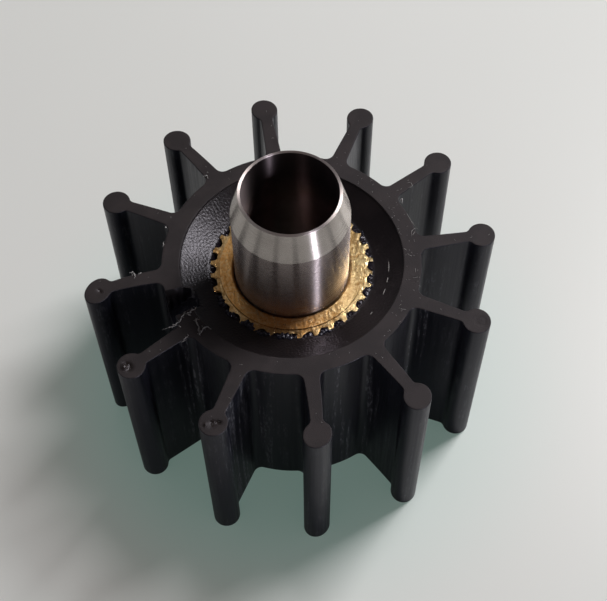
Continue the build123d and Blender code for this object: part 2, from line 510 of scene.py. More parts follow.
land_colour = blend_colour(tree, grain["Patches"], *LAND_BRASS)
ring_colour = blend_colour(tree, grain["Patches"], *RING_BRASS)
colour = blend_colour(tree, outer, land_colour, ring_colour)
# The front and left lie in the sleeve's shadow; there the brass is painted orange as bounced light, less on
# the toothed ring.
toward_shadow_side = sums(tree, "MULTIPLY_ADD", axes[0], -0.85, product(tree, axes[1], -0.5))
painted_bounce_share = spread_map(tree, toward_shadow_side, -4 * MM, 11 * MM, 0.0, 0.9)
colour = tinted(tree, colour, painted_bounce_share, blend_value(tree, outer, 1.0, 0.45), PAINTED_BOUNCE_ORANGE)
colour = tinted(tree, colour, spread_map(tree, lumps["Height"], 0.62, 0.85), 0.5, SPECK)
colour = tinted(tree, colour, spread_map(tree, lumps["Height"], 0.62, 0.42), 0.45, STAIN)
lined = sums(tree, "MULTIPLY_ADD", lines["Shade"], -0.2, 0.2)
colour = blend_colour(tree, lined, colour, LINE_BROWN)
colour = tinted(tree, colour, filed["Glints"], 0.35, BRIGHT)
# Dirt sits in the pores; along the step the darkening is dirt and painted shade.
step_dirt_and_shade = product(tree, product(tree, step_line, grain["Patches"]), 0.45)
pore_dirt_and_step_shade = sums(tree, "MAXIMUM", product(tree, pores["Mask"], 0.8), step_dirt_and_shade)
colour = blend_colour(tree, pore_dirt_and_step_shade, colour, DIRT_AND_STEP_SHADE)
colour = tinted(tree, colour, wear["Mask"], 0.25, BRIGHT)
# The mouth round the sleeve is painted dark as shade, most at the left.
colour = tinted(tree, colour, in_mouth, spread_map(tree, axes[0], -9 * MM, -3 * MM, 0.85, 0.45), BRASS_MOUTH_SHADE)

rough = spread_map(tree, grain["Patches"], 0.0, 1.0, 0.38, 0.29)
rough = sums(tree, "MULTIPLY_ADD", filed["Glints"], -0.06, rough)
rough = blend_value(tree, pores["Mask"], rough, 0.8)
relief = sums(tree, "MULTIPLY_ADD", lumps["Height"], 1.6, product(tree, lines["Height"], 0.5))
relief = sums(tree, "MULTIPLY_ADD", filed["Height"], 1.1, relief)
relief = sums(tree, "SUBTRACT", relief, pores["Mask"])
finish_surface(tree, shader, colour, rough, relief, 0.05 * MM)
shader.inputs["Metallic"].default_value = 1.0

# %% [markdown]
# ## Ground steel
# The sleeve was ground all round. Countless hairlines that run round it spread a highlight along
# the shaft and not across it, which is what an anisotropic shader with a radial tangent does.
# Below the taper the cylinder is painted darker and warmer, a painted reflection of the rubber
# and brass round its foot. The bore was left as bored: duller and browner, and towards the mouth
# it is painted nearly black as shade. The narrow lip is the brightest and the least polished.

# %% Material: ground steel
TAPER_STEEL, CYLINDER_STEEL_AND_REFLECTION = ((0.47, 0.425, 0.390, 1), (0.56, 0.51, 0.47, 1)), (0.47, 0.405, 0.385, 1)
BORE_STEEL, BORE_MOUTH_SHADE = ((0.26, 0.190, 0.180, 1), (0.36, 0.27, 0.26, 1)), (0.035, 0.032, 0.036, 1)
WORN_STEEL, LIP_STEEL = (0.68, 0.62, 0.60, 1), (0.66, 0.58, 0.56, 1)
BORE_ROUGH, LIP_ROUGH = 0.36, 0.55

steel, tree, shader, place = start_material("ground steel")
where = use_group(tree, round_place, {"Place": place})
lines = use_group(tree, turned_lines, {"Place": place, "Across": where["Height"], "Pitch": 0.12 * MM})
grain = use_group(tree, skin_grain, {"Place": place, "Size": 1.1 * MM})
wear = use_group(tree, edge_wear, {"Place": place, "Edge": mark(tree, "edge"), "Size": 1.5 * MM})
inside = mark(tree, "bore")
taper_foot = SLEEVE_TOP - NOSE
below_taper = spread_map(tree, where["Height"], taper_foot, taper_foot - 0.15 * MM)
# Towards the mouth the bore is painted nearly black as shade.
near_mouth = spread_map(tree, where["Height"], SLEEVE_TOP - 17 * MM, SLEEVE_TOP - 7 * MM, 0.0, 0.82)
on_lip = spread_map(tree, where["Height"], SLEEVE_TOP - 0.16 * MM, SLEEVE_TOP - 0.06 * MM)

taper_colour = blend_colour(tree, grain["Patches"], *TAPER_STEEL)
# Below the taper the cylinder's colour is darker and warmer, a painted reflection of the rubber and brass.
outside_colour = blend_colour(tree, below_taper, taper_colour, CYLINDER_STEEL_AND_REFLECTION)
bore_colour = blend_colour(tree, grain["Patches"], *BORE_STEEL)
bore_colour = blend_colour(tree, near_mouth, bore_colour, BORE_MOUTH_SHADE)
colour = blend_colour(tree, inside, outside_colour, bore_colour)
colour = tinted(tree, colour, wear["Mask"], 0.6, WORN_STEEL)
colour = blend_colour(tree, on_lip, colour, LIP_STEEL)
rough = spread_map(tree, lines["Height"], 0.3, 0.7, 0.23, 0.28)
rough = blend_value(tree, inside, rough, BORE_ROUGH)
rough = blend_value(tree, on_lip, rough, LIP_ROUGH)
finish_surface(tree, shader, colour, rough, lines["Height"], 0.003 * MM)
shader.inputs["Metallic"].default_value = 1.0
shader.inputs["Anisotropic"].default_value = 1.0
shader.inputs["Anisotropic Rotation"].default_value = 0.25
tangent = node(tree, "Tangent", direction_type="RADIAL", axis="Z")
tree.links.new(tangent.outputs[0], shader.inputs["Tangent"])

# %% [markdown]
# ## Torn rubber and lint
# Where the mould's flash was torn off, thin lips of rubber are left, pale partly with dust and
# partly with a painted glint where their torn edges catch the light. Lint is a pale fibre. Both
# are a mottled grey with a soft sheen, so one graph with two sets of colours makes them.

# %% Materials: torn rubber, lint
def pale_material(name, dark, light, roughness):
    """A mottled pale finish for thin strands."""
    material, tree, shader, place = start_material(name)
    grain = use_group(tree, skin_grain, {"Place": place, "Size": 0.3 * MM})
    colour = blend_colour(tree, grain["Height"], dark, light)
    rough = blend_value(tree, grain["Patches"], roughness, roughness + 0.2)
    finish_surface(tree, shader, colour, rough, grain["Height"], 0.03 * MM)
    return material


# The torn lips are pale partly with dust and partly with a painted glint.
torn_rubber = pale_material("torn rubber", (0.05, 0.047, 0.048, 1), (0.42, 0.40, 0.40, 1), 0.4)
lint = pale_material("lint", (0.16, 0.15, 0.15, 1), (0.42, 0.41, 0.40, 1), 0.5)
print("materials:", ", ".join(material.name for material in bpy.data.materials))

# %% [markdown]
# ## The outline of one vane
# A vane is a tapered web with a round bead on its end. The bead seals against the pump's wall;
# fillets at the neck and the root keep the rubber from tearing there. Seen along the shaft, half
# an outline is four pieces: bead arc, neck fillet, straight flank and root fillet. An inset moves
# the whole line inwards by changing the radii, and rounded edges use that.

# %% Half a vane outline
slope = (WEB_ROOT - WEB_NECK) / 2 / (BEAD_CIRCLE - BEAD - HUB)
ALONG = np.array([1.0, -slope]) / math.hypot(1, slope)
ACROSS = np.array([slope, 1.0]) / math.hypot(1, slope)
FLANK_FOOT = np.array([HUB, WEB_ROOT / 2])


def fillet_centre(middle, reach, radius, side):
    """The point at `radius` from the flank's line and at `reach` from `middle`.

    There are two, before and beyond the foot of the perpendicular; side -1 or 1 picks one."""
    base = FLANK_FOOT + radius * ACROSS - middle
    half = base @ ALONG
    return middle + base + (side * math.sqrt(half**2 - base @ base + reach**2) - half) * ALONG


bead_middle = np.array([BEAD_CIRCLE, 0.0])
root_middle = fillet_centre(np.zeros(2), HUB + ROOT_FILLET, ROOT_FILLET, 1)
neck_middle = fillet_centre(bead_middle, BEAD + NECK_FILLET, NECK_FILLET, -1)
ROOT_ANGLE = math.atan2(root_middle[1], root_middle[0])
neck_angle = math.atan2(*(bead_middle - neck_middle)[::-1])
flank_angle = math.atan2(-ACROSS[1], -ACROSS[0])
BEAD_STEPS, NECK_STEPS, FLANK_STEPS, ROOT_STEPS = 18, 6, 10, 8


def half_vane(inset=0.0):
    """From the tip to the hub, for y > 0: bead arc, neck fillet, flank, root fillet."""
    bead = arc(bead_middle, BEAD - inset, 0, neck_angle + math.pi, BEAD_STEPS + 1)
    neck = arc(neck_middle, NECK_FILLET + inset, neck_angle, flank_angle, NECK_STEPS + 1)
    root = arc(root_middle, ROOT_FILLET + inset, flank_angle, ROOT_ANGLE - math.pi, ROOT_STEPS + 1)
    share = np.linspace(0, 1, FLANK_STEPS + 1)[1:-1, None]
    flank = neck[-1] * (1 - share) + root[0] * share
    return np.concatenate([bead, neck[1:], flank, root])


print(f"half a vane: {len(half_vane())} points, hub tangent at {math.degrees(ROOT_ANGLE):.2f} degrees")

# %% [markdown]
# ## What twelve real vanes do
# Rubber vanes are never twelve perfect copies. One leans sideways by nearly two millimetres and
# the rest by less than one. A sideways move that grows from the hub to the bead, as a cantilever
# bends, is enough: y gains lean x share^2.

# %% Lean of the vanes
LEAN = np.array([0.45, -0.3, -0.2, 0.1, -0.1, -0.45, -0.8, -0.1, -0.1, 1.85, 0.2, 0.55]) * MM


def vane_angle(number):
    """Vanes are numbered clockwise from the one at the back, on +Y."""
    return math.radians(90 - 360 / VANES * number)


def placed(local, number, height):
    """Vane points in wheel coordinates: leaned as a cantilever, turned, and given their height."""
    share = np.clip((local[..., 0] - HUB) / (BEAD_CIRCLE - HUB), 0, 1.2)
    leaned = np.stack([local[..., 0], local[..., 1] + LEAN[number] * share**2], -1)
    return raised(turned(leaned, vane_angle(number)), height)


print(f"vane {np.abs(LEAN).argmax()} leans most, {np.abs(LEAN).max() / MM:.2f} mm at its bead")

# %% [markdown]
# ## Marks on the bead ends
# The mould leaves its traces on the flat ends of the beads: a pit with a glossy nub where rubber
# was fed in, a torn pit, a slit, the ring of an ejector pin. None is a millimetre high or deep,
# so they are heights added to the face's grid, each a hill or a hollow of `bump`.

# %% Bead marks
SLIT_VANE, SLIT_X, SLIT_Y, SLIT_COS, SLIT_SIN = 9, -0.6, 0.25, 0.84, 0.54
SLIT_DEEP, SLIT_HALF_WIDTH, SLIT_HALF_LENGTH = 0.5, 0.36, 1.3
RING_VANE, RING_X, RING_Y = 4, 0.6, 0.3
RING_DEEP, RING_RADIUS, RING_HALF_WIDTH = 0.06, 1.1, 0.35
BEAD_HILLS = {
    7: [
        (-0.7, -0.7, 0.95, 0.45, 1.05),
        (-0.35, -0.25, -0.4, 0.6, 0.6),
        (-0.2, 0.3, 0.0, 1.5, 1.4),
        (0.4, 0.85, -1.4, 0.6, 0.5),
    ],
    8: [(-0.65, 0.5, -0.35, 1.25, 1.8), (0.85, 0.95, -0.55, 1.1, 1.1), (0.25, 1.1, -1.3, 0.45, 0.45)],
}


def bead_marks(number, x, y):
    """Height added to a vane's upper face; x is measured from the mark circle, y from the vane's middle.

    All is in millimetres here. A hill is a height, a middle in x and y, and half its length in both."""
    x, y = x / MM, y / MM
    height = np.zeros_like(x)
    for hill, at_x, at_y, reach_x, reach_y in BEAD_HILLS.get(number, []):
        height += hill * bump(np.hypot((x - at_x) / reach_x, (y - at_y) / reach_y))
    if number == SLIT_VANE:
        across = (x - SLIT_X) * SLIT_COS + (y - SLIT_Y) * SLIT_SIN
        along = (y - SLIT_Y) * SLIT_COS - (x - SLIT_X) * SLIT_SIN
        height -= SLIT_DEEP * bump(np.hypot(across / SLIT_HALF_WIDTH, along / SLIT_HALF_LENGTH))
    if number == RING_VANE:
        off_ring = np.hypot(x - RING_X, y - RING_Y) - RING_RADIUS
        height -= RING_DEEP * bump(off_ring / RING_HALF_WIDTH)
    return height * MM


print("vanes with a mark on the bead's end:", sorted([*BEAD_HILLS, SLIT_VANE, RING_VANE]))

# %% [markdown]
# ## The toothed outline
# The insert's edge has 32 teeth with round gaps, so that the rubber can't spin on the brass. One
# pitch of the outline is a short arc at full radius, then a bite. Real teeth are worn and burred:
# each has its own height and its own lean, and the line wanders by up to a tenth of a millimetre.

# %% Toothed outline
PITCH = 2 * math.pi / TEETH
COLUMNS_PER_VANE = 64
COLUMNS = VANES * COLUMNS_PER_VANE
PER_TOOTH = COLUMNS // TEETH
TIP_POINTS = 6
BURR = 0.12 * MM
WORN_OFF, HOOKED, WANDER, WANDER_WAVE = 0.35, 0.6, 0.1 * MM, 1.1 * MM
bite_middle = TOOTH_ROOT + SCALLOP


def toothed_outline(inset=0.0):
    """The outline's columns, anticlockwise from the first tooth: a tip's arc and a gap's arc, 32 times.

    Teeth lose up to WORN_OFF mm of height and lean up to HOOKED mm sideways at their tips."""
    tip_radius, bite_radius = TOOTH_TIP - inset, SCALLOP - BURR + inset
    cosine = (bite_middle**2 + tip_radius**2 - bite_radius**2) / (2 * bite_middle * tip_radius)
    half_gap = math.acos(cosine)
    swing = math.atan2(tip_radius * math.sin(half_gap), tip_radius * cosine - bite_middle)
    tip_half = PITCH / 2 - half_gap
    tip = arc((0, 0), tip_radius, -tip_half, tip_half, TIP_POINTS)
    bite = arc((bite_middle, 0), bite_radius, -swing, swing - 2 * math.pi, PER_TOOTH - TIP_POINTS + 2)
    tooth = np.concatenate([tip, turned(bite[1:-1], PITCH / 2)])
    outline = np.concatenate([turned(tooth, TOOTH_TURN + PITCH * k) for k in range(TEETH)])
    radius = np.hypot(outline[:, 0], outline[:, 1])
    near_tip = np.clip((radius - TOOTH_ROOT) / SCALLOP_DEPTH, 0, 1)
    loss = np.repeat(np.random.default_rng(5).uniform(-WORN_OFF, 0.0, TEETH), PER_TOOTH) * MM
    lean = np.repeat(np.random.default_rng(8).uniform(-HOOKED, HOOKED, TEETH), PER_TOOTH) * MM
    wander = WANDER * ripple(outline, WANDER_WAVE, 6)
    beside = np.stack([-outline[:, 1], outline[:, 0]], -1) / radius[:, None]
    worn = outline * (1 + (loss * near_tip + wander) / radius)[:, None]
    worn = worn + (lean * near_tip**2)[:, None] * beside
    return worn * np.minimum(1, TOOTH_TIP / np.hypot(worn[:, 0], worn[:, 1]))[:, None]


print(f"toothed outline: {len(toothed_outline())} points")

# %% [markdown]
# ## The rubber wheel
# The wheel is one moulding, so it becomes one closed surface out of three kinds of sheet: the
# wall, which is the outline at many heights; a cap on each end of each vane; and a long ring
# sheet that runs from the hub's edge over the recess, down the toothed socket and out again on
# the other side. All sheets share their border points, so merging doubles closes the seams.
# Each point also keeps four marks, `edge`, `face`, `dish` and `gap`, for the material to read.

# %% Columns of the hub
EDGE = 0.2 * MM
SECTOR = 2 * math.pi / VANES
ACROSS_STEPS = 20
ARC_STEPS = COLUMNS_PER_VANE - ACROSS_STEPS


def marks_of(shape, **given):
    """The four marks of a sheet of points, as flat arrays: those given, and 0 for the others."""
    return {name: np.broadcast_to(given.get(name, 0.0), shape).ravel() for name in MARKS}


def sector_number(sector):
    """Sectors run anticlockwise from +X, vanes clockwise from +Y."""
    return (3 - sector) % VANES


def hub_edge(inset):
    """The hub's edge as 64 columns a vane: straight across each vane's root, then the bare arc."""
    radius = HUB - inset
    half = radius * math.sin(ROOT_ANGLE)
    across = np.linspace(-half, half, ACROSS_STEPS + 1)
    root_line = np.stack([np.full_like(across, radius * math.cos(ROOT_ANGLE)), across], -1)
    bare = arc((0, 0), radius, ROOT_ANGLE, SECTOR - ROOT_ANGLE, ARC_STEPS + 1)[1:-1]
    sector = np.concatenate([root_line, bare])
    return np.concatenate([turned(sector, SECTOR * number) for number in range(VANES)])


def wheel_outline(inset, height):
    """The whole outline at one height: for each vane up one flank, round the bead, down the other."""
    half = half_vane(inset)
    mirrored = half[::-1] * [1, -1]
    loop = np.concatenate([mirrored, half[1:]])
    bare = arc((0, 0), HUB - inset, ROOT_ANGLE, SECTOR - ROOT_ANGLE, ARC_STEPS + 1)[1:-1]
    parts = []
    for sector in range(VANES):
        parts.append(placed(loop, sector_number(sector), height))
        parts.append(raised(turned(bare, SECTOR * sector), height))
    return np.concatenate(parts)


print(f"hub edge: {len(hub_edge(EDGE))} points")

# %% [markdown]
# ## A torn place
# A piece of the hub's edge is torn out between the two vanes at the left. `torn_out` says how
# much is gone at a point: 1 inside the hollow, 0 outside, with a steep and ragged flank between.
# The floor of the hollow falls outwards. The wall shrinks by the depth and the ring sheet sinks
# by it, so both still meet.

# %% Torn hollow
TORN_DEEP, TORN_FALL = 3.2 * MM, 4.5 * MM
TORN_TURN, TORN_HALF = math.radians(-165.1), math.radians(6.9)
TORN_INNER, TORN_FLANK, TORN_WAVE = 22.5 * MM, 0.75 * MM, 1.4 * MM
TORN_SLANT, TORN_RAGGED = 0.35, 0.25


def torn_out(points):
    """Share torn out, and how deep: a smooth step of the distance to the nearest side of a radial slot."""
    radius = np.hypot(points[..., 0], points[..., 1])
    turn = np.arctan2(points[..., 1], points[..., 0]) - TORN_TURN
    off_middle = np.abs((turn + math.pi) % (2 * math.pi) - math.pi)
    aside = (TORN_HALF - off_middle) * radius
    inner = radius - TORN_INNER - TORN_SLANT * off_middle * radius
    nearest = np.minimum(aside, inner)
    unevenness = TORN_RAGGED * ripple(points[..., :2], TORN_WAVE, 52)
    inside = np.clip(nearest / TORN_FLANK + unevenness, 0, 1)
    share = np.where(nearest <= 0, 0, inside * inside * (3 - 2 * inside))
    outward = np.clip((radius - TORN_INNER) / (HUB - TORN_INNER), 0, 1)
    return share, share * (TORN_DEEP + TORN_FALL * outward)


torn_middle = HUB * on_circle(TORN_TURN)
print(f"the hollow is {torn_out(torn_middle)[1] / MM:.1f} mm deep at the hub's edge")

# %% [markdown]
# ## The wall
# The wall stacks the outline from the lower face to the upper one. Its rows lie close together
# where the edge is rounded, by a quarter circle of `EDGE`, and far apart on the straight part.
# The rounding belongs to the cut face's finish, less and less as it turns down.

# %% Wall of the wheel
quarter = np.linspace(0, math.pi / 2, 5)
round_inset, round_depth = EDGE * (1 - np.sin(quarter)), EDGE * (1 - np.cos(quarter))
straight = np.linspace(2 * EDGE, WIDTH - 2 * EDGE, 3)
row_insets = np.concatenate([round_inset, 0 * straight, round_inset[::-1]])
row_heights = np.concatenate([round_depth, straight, WIDTH - round_depth[::-1]])
row_edge = np.concatenate([np.sin(2 * quarter), 0 * straight, np.sin(2 * quarter)[::-1]])
row_face = np.concatenate([np.cos(quarter) ** 2, 0 * straight, np.cos(quarter)[::-1] ** 2])

wall = np.stack([wheel_outline(inset, height) for inset, height in zip(row_insets, row_heights)])
torn_share, torn_depth = torn_out(wall[-1])
wall[..., 2] *= 1 - torn_depth / WIDTH
wall_face = row_face[:, None] * (1 - torn_share)
wheel_sheets = [(wall.reshape(-1, 3), grid_faces(*wall.shape[:2]))]
wheel_marks = [marks_of(wall.shape[:2], edge=row_edge[:, None], face=wall_face)]
print(f"wall: {wall.shape[0]} rows of {wall.shape[1]} points")

# %% [markdown]
# ## Caps
# A cap is ruled straight across the vane, from one side of the outline to the other, from the tip
# to the hub. The tip row shrinks to a point, and the last row lies along the hub's edge. Dents
# are glossy, so where a cap is dented it gets the `gap` mark.

# %% Caps of the vanes
cap_half = half_vane(EDGE)
spread = np.linspace(-1, 1, ACROSS_STEPS + 1)
cap_local = np.stack([np.repeat(cap_half[:, :1], len(spread), 1), cap_half[:, 1:] * spread], -1)
for number in range(VANES):
    marks_height = bead_marks(number, cap_local[..., 0] - MARK_CIRCLE, cap_local[..., 1])
    for height, side in ((WIDTH, 1), (0.0, 0)):
        cap = placed(cap_local, number, height)
        cap[..., 2] += side * marks_height
        wheel_sheets.append((cap.reshape(-1, 3), grid_faces(*cap.shape[:2], wrap=False)))
        shine = side * np.clip(np.abs(marks_height) / (0.1 * MM) - 0.8, 0, 1)
        wheel_marks.append(marks_of(cap.shape[:2], face=1.0, gap=shine))
print(f"caps: {2 * VANES} of {cap_local.shape[0]} rows by {cap_local.shape[1]} points")

# %% [markdown]
# ## The recess in profile
# Inside its flat ring each face is dished: a short step, then a shallow cone down to the brass.
# The hub's columns and the toothed outline's columns are not spread alike, so each circle of
# points between them will turn a little further from the one spacing to the other.

# %% Profile of the recess
RIM_ROUND = 0.12 * MM

hub_columns = hub_edge(EDGE)
hub_turn = np.unwrap(np.arctan2(hub_columns[:, 1], hub_columns[:, 0]))
teeth_line = toothed_outline()
first_turn = math.atan2(teeth_line[0, 1], teeth_line[0, 0])
column_step = 2 * math.pi / COLUMNS
teeth_line = np.roll(teeth_line, round((first_turn - hub_turn[0]) / column_step), axis=0)
even_turn = hub_turn[0] + column_step * np.arange(COLUMNS)

rim_quarter = np.linspace(0, math.pi / 2, 4)
rim_rows = np.stack([RIM + RIM_ROUND * (1 - np.sin(rim_quarter)), RIM_ROUND * (1 - np.cos(rim_quarter))], -1)
step_foot = np.array([RIM, RIM_STEP - 0.1 * MM])
cone_top = np.array([RIM - 0.1 * MM, RIM_STEP])
cone_foot = np.array([DISH_FLOOR + 0.2 * MM, DISH_DEPTH - 0.08 * MM])
floor_edge = np.array([DISH_FLOOR - 0.05 * MM, DISH_DEPTH])


def dish_profile(cone_count):
    """Radius and depth of each circle from the rim to the dish's floor; cone_count lie on the cone."""
    share = np.linspace(0, 1, cone_count)[:, None]
    cone = cone_top * (1 - share) + cone_foot * share
    return np.concatenate([rim_rows, [step_foot], cone, [floor_edge]])


print(f"recess: {DISH_DEPTH / MM:.1f} mm deep, from radius {RIM / MM:.1f} to {DISH_FLOOR / MM:.1f} mm")

# %% [markdown]
# ## Rubber between the teeth, and its skin
# Rubber that was squeezed into the gaps between the teeth sets at a different level in each
# gap, so each gap gets its own random level and a few lumps; on the right they are nearly full.
# The recess beside them has a skin like the peel of an orange, which is a ripple of the points.

# %% Levels and skin
PEEL, PEEL_WAVE, PEEL_WAVES = 0.03 * MM, 0.62 * MM, 24
FULL_SIDE = math.radians(-15)
FULL_LEVELS, EMPTY_LEVELS = (-0.12, 0.3), (-1.3, -0.4)
LUMPS, LUMP_WAVE = 0.35, 0.9 * MM


def gap_level(flat, seed):
    """Level of the rubber between the teeth: one random level a gap, plus lumps, growing into the gap.

    The levels and the lumps are in millimetres above the floor of the recess."""
    radius = np.hypot(flat[:, 0], flat[:, 1])
    inward = np.clip((TOOTH_TIP - radius) / SCALLOP_DEPTH, 0, 1)
    gap = np.floor((np.arctan2(flat[:, 1], flat[:, 0]) - TOOTH_TURN) / PITCH).astype(int) % TEETH
    lowest, highest = np.array([EMPTY_LEVELS, FULL_LEVELS]).T[..., None]
    low, high = np.random.default_rng(seed).uniform(lowest, highest, (2, TEETH))
    fullness = (0.5 + 0.5 * np.cos(PITCH * (np.arange(TEETH) + 0.5) - FULL_SIDE)) ** 0.7
    level = (low * (1 - fullness) + high * fullness)[gap] + LUMPS * ripple(flat, LUMP_WAVE, seed + 1)
    return level * MM * np.clip(1.6 * inward, 0, 1), inward


def peel_height(flat):
    """The skin of the recess: ripples over half a millimetre long, fading out at the rim and the brass."""
    radius = np.hypot(flat[:, 0], flat[:, 1])
    from_rim = np.clip((RIM - 0.2 * MM - radius) / (0.4 * MM), 0, 1)
    from_brass = np.clip((radius - TOOTH_TIP) / (0.3 * MM), 0, 1)
    return PEEL * from_rim * from_brass * ripple(flat, PEEL_WAVE, 31, PEEL_WAVES)


print(f"rubber between the teeth: {EMPTY_LEVELS[0]} to {FULL_LEVELS[1]} mm above the floor, before the lumps")

# %% [markdown]
# ## The ring sheet
# One sheet of rows runs over the flat ring, down the recess and out to the teeth. The upper face
# gets many rows, for its skin and for the torn place. The lower face is the same sheet mirrored,
# with few rows, because it lies underneath.

# %% Ring sheet
SOCKET_SHARES = (0.25, 0.5, 0.75, 0.9, 1.0)


def ring_sheet(seed, flat_shares, cone_count):
    """Rows from the hub's edge over the recess to the toothed outline, for the upper face, and marks."""
    rows, marks = [], []
    for share in flat_shares:
        flat = hub_columns * (1 - share) + on_circle(hub_turn) * (RIM + RIM_ROUND) * share
        rows.append(raised(flat, WIDTH))
        marks.append((0, 1, 0, 0))
    profile, rim_steps = dish_profile(cone_count), len(rim_rows) - 1
    for i, (radius, depth) in enumerate(profile):
        mix = i / (len(profile) - 1)
        flat = radius * on_circle(hub_turn * (1 - mix) + even_turn * mix)
        rows.append(raised(flat, WIDTH - (depth - peel_height(flat))))
        past_rim = min(1, i / rim_steps)
        rim_edge = math.sin(2 * rim_quarter[i]) if i <= rim_steps else 0
        marks.append((rim_edge, 1 - past_rim, past_rim, 0))
    table = np.repeat(np.array(marks, float)[:, None], COLUMNS, 1)
    inwards = []
    for share in SOCKET_SHARES:
        flat = floor_edge[0] * on_circle(even_turn) * (1 - share) + teeth_line * share
        rise, inward = gap_level(flat, seed)
        rows.append(raised(flat, WIDTH - (DISH_DEPTH - rise)))
        inwards.append(inward)
    shine = np.clip(2 * np.stack(inwards), 0, 1)
    socket = np.stack([0 * shine, 0 * shine, np.ones_like(shine), shine], -1)
    return np.stack(rows), np.concatenate([table, socket])


upper_ring, upper_marks = ring_sheet(seed=11, flat_shares=np.linspace(0, 0.92, 9), cone_count=30)
torn_share, torn_depth = torn_out(upper_ring)
upper_ring[..., 2] = np.minimum(upper_ring[..., 2], WIDTH - torn_depth)
upper_marks[..., :3] *= 1 - torn_share[..., None]
lower_ring, lower_marks = ring_sheet(seed=23, flat_shares=(0.0, 0.5), cone_count=8)
lower_ring = lower_ring * [1, 1, -1] + [0, 0, WIDTH]
ring = np.concatenate([upper_ring, lower_ring[::-1]])
ring_marks = np.concatenate([upper_marks, lower_marks[::-1]]).reshape(-1, len(MARKS))
wheel_sheets.append((ring.reshape(-1, 3), grid_faces(len(ring), COLUMNS)))
wheel_marks.append(dict(zip(MARKS, ring_marks.T)))
print(f"ring: {len(ring)} rows of {COLUMNS} points")

# %% [markdown]
# ## One closed wheel
# The sheets are ready, so they are merged into the wheel, which takes the place of the plainer
# node. In a closed surface each edge joins two faces, so a count of 0 others shows that every
# seam has closed.

# %% Rubber wheel
marks_by_name = {name: [sheet[name] for sheet in wheel_marks] for name in MARKS}
wheel = make_piece("rubber_wheel", wheel_sheets, rubber, marks=marks_by_name)
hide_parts("impeller_body")

# %% [markdown]
# ## The brass insert
# From the bore outwards the insert is round, and at its outside it is toothed. Each row of points
# is either a circle or the toothed outline, or a mix of the two in between, so one closed grid
# makes bore, lead-in chamfers, raised lands and teeth. The toothed ring is dented a little, more
# towards the teeth, as brass is that has been handled.

# %% Brass insert
TOOTHED_TOP = WIDTH - DISH_DEPTH
SOFT = 0.05 * MM
DENTS, DENT_WAVE = 0.05 * MM, 1.6 * MM
insert_line = toothed_outline()
insert_turn = math.atan2(insert_line[0, 1], insert_line[0, 0]) + column_step * np.arange(COLUMNS)
insert_unit = on_circle(insert_turn)


def insert_half(seed):
    """Rows from the middle of the bore to the middle of the teeth, for the upper end, and edge marks.

    Each circle is a radius, a height and how much of an edge it is."""
    top = TOOTHED_TOP + LAND_RISE
    circles = [
        (SLEEVE, WIDTH / 2, 0),
        (SLEEVE, top - MOUTH - SOFT, 0),
        (SLEEVE + SOFT / 2, top - MOUTH, 1),
        (SLEEVE + MOUTH - SOFT, top - SOFT, 1),
        (SLEEVE + MOUTH + SOFT / 2, top, 0.6),
        (SLEEVE + MOUTH + 2 * SOFT, top, 0),
        (LAND - 4 * SOFT, top, 0),
        (LAND - 2 * SOFT, top, 0),
        (LAND - SOFT / 2, top, 0.3),
        (LAND, top - SOFT / 2, 0.4),
        (LAND + SOFT / 2, TOOTHED_TOP, 0),
        (LAND + 4 * SOFT, TOOTHED_TOP, 0),
    ]
    rows = [raised(insert_unit * radius, height) for radius, height, edge in circles]
    marks = [edge for radius, height, edge in circles]
    start, inner_line = insert_unit * (LAND + 4 * SOFT), toothed_outline(SOFT)
    for share, edge in ((0.35, 0), (0.7, 0), (0.93, 0.2), (1.0, 0.7)):
        flat = start * (1 - share) + inner_line * share
        dents = DENTS * (ripple(flat, DENT_WAVE, seed) - 1) * share
        rows.append(raised(flat, TOOTHED_TOP + dents))
        marks.append(edge)
    for depth, edge in ((0.13 * MM, 1), (0.35 * MM, 0)):
        rows.append(raised(insert_line, TOOTHED_TOP - depth))
        marks.append(edge)
    return np.stack(rows), np.array(marks, float)


upper, upper_edge = insert_half(seed=41)
lower, lower_edge = insert_half(seed=43)
lower = lower * [1, 1, -1] + [0, 0, WIDTH]
shell = np.concatenate([upper, lower[:0:-1], lower[:1]])
shell_edge = np.concatenate([upper_edge, lower_edge[:0:-1], lower_edge[:1]])
insert = make_piece(
    "toothed_insert",
    [(shell.reshape(-1, 3), grid_faces(len(shell), COLUMNS))],
    brass,
    marks={"edge": [np.repeat(shell_edge, COLUMNS)]},
)
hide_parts("brass_insert")

# %% [markdown]
# ## The steel sleeve
# The sleeve is a profile spun round the shaft: foot chamfer, cylinder, tapered nose, a narrow lip
# and the bore. Each corner is a short curve in four steps. A row close to every corner keeps the
# smooth shading of a corner from spreading over the long faces beside it.

# %% Steel sleeve
SPIN = 256
CORNER_CUT = 0.07 * MM


def rounded_profile(corners, cut, steps=4):
    """A closed profile whose corners are each replaced by a short curve that starts `cut` away."""
    corners = np.array(corners)
    before, after = np.roll(corners, 1, 0), np.roll(corners, -1, 0)
    into = (before - corners) / np.linalg.norm(before - corners, axis=1, keepdims=True)
    out = (after - corners) / np.linalg.norm(after - corners, axis=1, keepdims=True)
    t = np.linspace(0, 1, steps + 1)[None, :, None]
    start, end = (corners + cut * into)[:, None], (corners + cut * out)[:, None]
    curve = start * (1 - t) ** 2 + 2 * corners[:, None] * t * (1 - t) + end * t**2
    lead_in, lead_out = (corners + 2 * cut * into)[:, None], (corners + 2 * cut * out)[:, None]
    edge = np.concatenate([[0], np.sin(np.linspace(0, math.pi, steps + 1)), [0]])
    profile = np.concatenate([lead_in, curve, lead_out], 1)
    return profile.reshape(-1, 2), np.tile(edge, len(corners))


